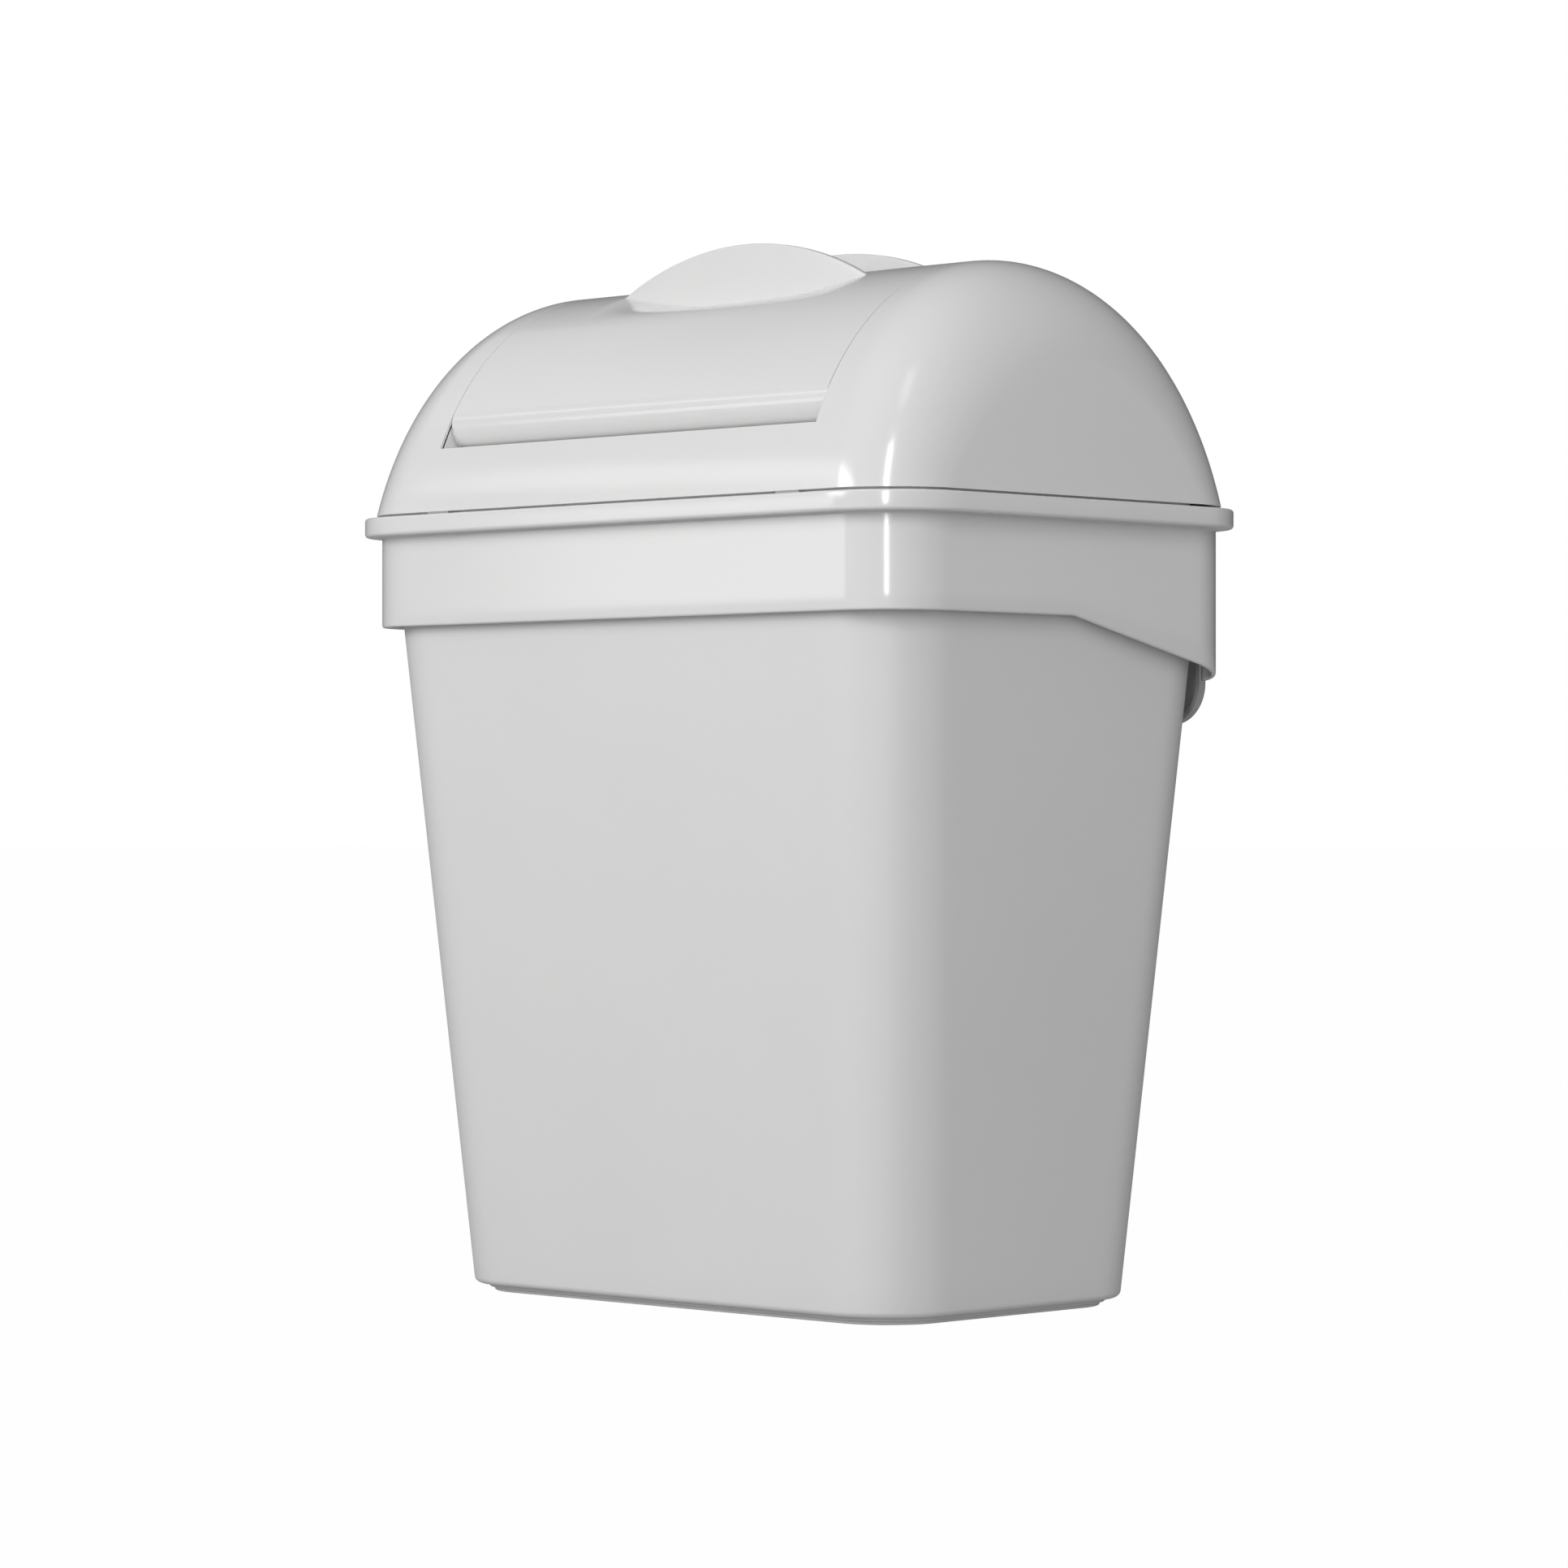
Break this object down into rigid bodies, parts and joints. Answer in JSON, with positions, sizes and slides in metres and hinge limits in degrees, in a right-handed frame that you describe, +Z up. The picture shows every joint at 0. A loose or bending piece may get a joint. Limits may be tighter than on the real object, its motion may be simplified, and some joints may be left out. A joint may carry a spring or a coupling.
{
  "type": "swing-lid waste bin",
  "caption": "Tapered rectangular waste bin with a skirted collar, an arched lid with a two-way swing flap and finger grips, and a wall bracket it hangs on.",
  "frame": {"origin": "floor level under the middle of the bin", "axes": "+Z up, front (the side away from the wall bracket) towards -Y, +X to the right of someone facing +Y, long side along X"},
  "size_m": [0.42, 0.2888, 0.5608],
  "materials": {
    "bucket_plastic": "moulded, fine satin gloss",
    "collar_plastic": "moulded, gloss",
    "lid_plastic": "moulded, gloss",
    "bracket_plastic": "moulded, matt",
    "foot_rubber": "matt",
    "pin_steel": "turned",
    "bush_plastic": "machined, smooth"
  },
  "bodies": {
    "bucket": {"bucket": "bucket_plastic", "foot_front_left": "foot_rubber", "foot_front_right": "foot_rubber", "foot_rear_left": "foot_rubber", "foot_rear_right": "foot_rubber"},
    "bracket": {"wall_bracket": "bracket_plastic"},
    "collar": {"collar": "collar_plastic"},
    "lid": {"dome": "lid_plastic", "lid_buffer_front_left": "foot_rubber", "lid_buffer_front_right": "foot_rubber", "lid_buffer_rear_left": "foot_rubber", "lid_buffer_rear_right": "foot_rubber", "pivot_bush_left": "bush_plastic", "pivot_bush_right": "bush_plastic"},
    "flap": {"flap": "lid_plastic", "front_grip": "lid_plastic", "rear_grip": "lid_plastic", "pivot_pin_left": "pin_steel", "pivot_pin_right": "pin_steel", "pivot_clip_left": "pin_steel", "pivot_clip_right": "pin_steel"}
  },
  "joints": [
    {"name": "collar_lift", "type": "slide", "parent": "bucket", "child": "collar", "axis": [0, 0, 1], "range_m": [0, 0.12]},
    {"name": "lid_lift", "type": "slide", "parent": "collar", "child": "lid", "axis": [0, 0, 1], "range_m": [0, 0.12]},
    {"name": "flap_swing", "type": "hinge", "parent": "lid", "child": "flap", "pos_m": [0, 0, 0.5281], "axis": [1, 0, 0], "range_deg": [-75, 75]},
    {"name": "bracket_unhook", "type": "slide", "parent": "bucket", "child": "bracket", "axis": [0, 0, -1], "range_m": [0, 0.02]}
  ]
}
